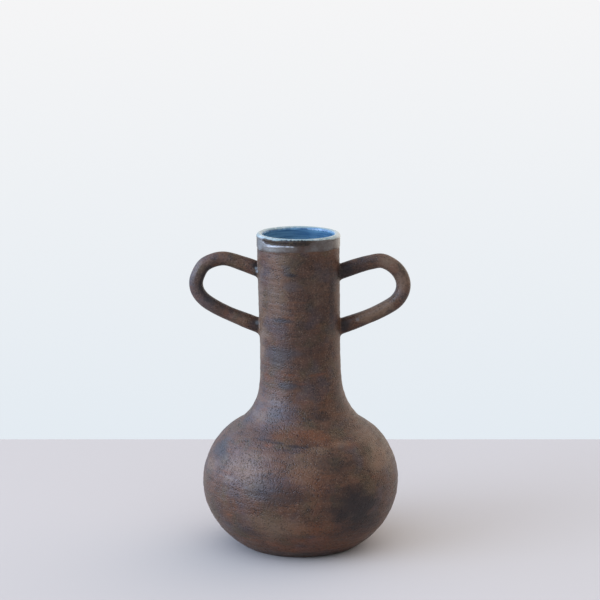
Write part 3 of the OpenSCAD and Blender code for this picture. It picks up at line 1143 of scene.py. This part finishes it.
# a ring round the coil, and across it a curve from the coil, bent towards the corner, on to the neck.
# The corner is where a line along the coil's side meets the neck's round: run = (neck - start) / slope.
def makeCollar(name, place, middle, tangent):
    c = collar
    side = handles[name]["side"]
    surface = pot["neckRadius"] + side * leanAt(middle[:, 1])
    inside = np.flatnonzero(middle[:, 0] < surface)
    half = len(middle) // 2
    row = inside[inside < half][-1] if place == "upper" else inside[inside > half][0]
    out = tangent[row] if place == "upper" else -tangent[row]
    up = np.array([-out[1], out[0]])
    t = columnAngles(c["columns"])[0]
    radius = handles[name]["radius"] + coil["rootSwell"]
    away = np.stack([up[0] * np.cos(t), np.sin(t), up[1] * np.cos(t)], axis=-1)
    along = np.array([out[0], 0, out[1]])
    centre = np.array([middle[row, 0], 0, middle[row, 1]])
    stand = np.sqrt(pot["neckRadius"] ** 2 - (radius * away[:, 1]) ** 2) + side * leanAt(centre[2])
    run = (stand - centre[0] - radius * away[:, 0]) / out[0]
    corner = centre + along * run[:, None] + away * radius
    reach = c["reach"] + c["under"] * smoothStep(*c["underFrom"], np.cos(t))
    onCoil = corner + along * reach[:, None] + away * c["proud"]
    yFoot = (radius + reach) * away[:, 1]
    foot = onNeck(side * np.arccos(-yFoot / pot["neckRadius"]), corner[:, 2] + reach * away[:, 2])
    foot[:, 0] = side * foot[:, 0] + c["proud"]
    sunk = corner - c["sunk"] * away - np.array([c["sunk"], 0, 0])
    across = bent(onCoil, corner, foot, c["rows"])
    grid = np.concatenate([across, sunk[None]]) * (side, 1, 1)
    node = name + "_" + place + "_collar"
    makePiece(node + "_clay", grid, True, clay, node, collarLayers(name))


for name in handles:
    middle, tangent = makeHandle(name)
    makeCollar(name, "upper", middle, tangent)
    makeCollar(name, "lower", middle, tangent)

# stage, in metres: a pale table with its back edge where the photograph has it
stage = {"halfWidth": 1.6, "front": -1.6, "back": 0.318, "colour": "#b6b3b4"}


# one flat quad, matt so that it shows no window
def makeTable():
    w, y0, y1 = stage["halfWidth"], stage["front"], stage["back"]
    mesh = bpy.data.meshes.new("table_top")
    mesh.from_pydata([(-w, y0, 0), (w, y0, 0), (w, y1, 0), (-w, y1, 0)], [], [(0, 1, 2, 3)])
    material = bpy.data.materials.new("painted table top, matt")
    material.use_nodes = True
    shader = material.node_tree.nodes["Principled BSDF"]
    shader.inputs["Base Color"].default_value = linear(stage["colour"])
    shader.inputs["Specular IOR Level"].default_value = 0.0
    mesh.materials.append(material)
    table = bpy.data.objects.new("table_top", mesh)
    bpy.context.scene.collection.objects.link(table)


makeTable()

# light, in metres: a soft window on the left, and a wall that pales between two slopes of the view
light = {
    "windowPlace": (-3.5, -1.8, 1.14),
    "windowAim": (0, 0, 0.1),
    "windowSize": (2.8, 2.2),
    "windowPower": 122.0,
    "windowColour": "#d8e9ff",
    "wallLow": "#e3ebf2",
    "wallHigh": "#f5f5f6",
    "wallSlopes": (-0.26, -0.07),
}
# soft glows of the room: where each comes from, how tight it is, strength, share in gloss, and colour
glows = {
    "leftWall": ((-1, -0.1, 0.3), 4.0, 2.28, 1.7, "#d3e2ff"),
    "leftWindow": ((-0.82, -0.26, 0.55), 11.0, 0.25, 27.0, "#b2c8ff"),
    "leftSky": ((-0.85, 0.27, 0.42), 4.0, 0.1, 25.0, "#a9d0ff"),
    "rightBack": ((0.8, 0.7, 0.2), 3.0, 2.85, 0.36, "#ffefe3"),
    "backWall": ((0, 1, 0.3), 3.0, 1.3, 0.4, "#fffdf6"),
    "frontTop": ((0, -0.62, 0.8), 2.0, 1.64, 0.4, "#f4faff"),
}


# a thing put at a place and turned so that its -Z looks at the target
def aim(thing, place, target):
    direction = np.array(target) - np.array(place)
    thing.location = place
    flat = math.hypot(direction[0], direction[1])
    thing.rotation_euler = (math.atan2(flat, -direction[2]), 0, math.atan2(-direction[0], direction[1]))


# a window, the wall that the camera sees, and the sum of the glows that light the pot, each
# strength * max(0, cosine)^tightness
def makeLight():
    data = bpy.data.lights.new("window", "AREA")
    data.shape = "RECTANGLE"
    data.size, data.size_y = light["windowSize"]
    data.energy = light["windowPower"]
    data.color = linear(light["windowColour"])[:3]
    window = bpy.data.objects.new("window", data)
    bpy.context.scene.collection.objects.link(window)
    aim(window, light["windowPlace"], light["windowAim"])
    world = bpy.data.worlds.new("room")
    bpy.context.scene.world = world
    world.use_nodes = True
    tree = world.node_tree
    tree.nodes.clear()
    ray = addNode(tree, "LightPath").outputs
    direction = addNode(tree, "TexCoord").outputs["Generated"]
    split = addNode(tree, "SeparateXYZ", None, {0: direction}).outputs
    low, high = light["wallSlopes"]
    height = addNode(tree, "MapRange", {"From Min": low, "From Max": high}, {"Value": split["Z"]})
    wallColours = {1: linear(light["wallLow"]), 2: linear(light["wallHigh"])}
    wall = addNode(tree, "MixRGB", wallColours, {0: height})
    seen = addNode(tree, "Background", {"Strength": 1.0}, {"Color": wall})
    room = None
    for place, tightness, strength, gloss, colour in glows.values():
        unit = tuple(np.array(place) / np.linalg.norm(place))
        facing = addNode(tree, "VectorMath", {"operation": "DOT_PRODUCT", 1: unit}, {0: direction})
        front = addNode(tree, "Math", {"operation": "MAXIMUM", 1: 0.0}, {0: facing.outputs["Value"]})
        lobe = addNode(tree, "Math", {"operation": "POWER", 1: tightness}, {0: front})
        shares = {"To Min": strength, "To Max": strength * gloss}
        share = addNode(tree, "MapRange", shares, {"Value": ray["Is Glossy Ray"]})
        power = addNode(tree, "Math", {"operation": "MULTIPLY"}, {0: lobe, 1: share})
        glow = addNode(tree, "Background", {"Color": linear(colour)}, {"Strength": power})
        room = glow if room is None else addNode(tree, "AddShader", None, {0: room, 1: glow})
    pick = addNode(tree, "MixShader", None, {0: ray["Is Camera Ray"], 1: room, 2: seen})
    addNode(tree, "OutputWorld", None, {"Surface": pick})


makeLight()

# camera, in metres and radians: fitted to the outline in the photograph's 600 px frame
camera = {
    "place": (0, -1.8, 0.5574),
    "pitch": 0.198,
    "focalPixels": 2344.07,
    "framePixels": 600,
    "sensorMm": 36.0,
    "clipEnd": 20,
}


# a level camera tilted down by the pitch; lens = focal pixels / frame pixels * sensor
def makeCamera():
    data = bpy.data.cameras.new("camera")
    data.sensor_fit = "HORIZONTAL"
    data.sensor_width = camera["sensorMm"]
    data.lens = camera["focalPixels"] / camera["framePixels"] * camera["sensorMm"]
    data.clip_end = camera["clipEnd"]
    eye = bpy.data.objects.new("camera", data)
    bpy.context.scene.collection.objects.link(eye)
    eye.location = camera["place"]
    eye.rotation_euler = (math.pi / 2 - camera["pitch"], 0, 0)
    bpy.context.scene.camera = eye


makeCamera()
bpy.context.scene.view_settings.view_transform = "Standard"
bpy.context.scene.view_settings.look = "None"
print("stage, light and camera set")
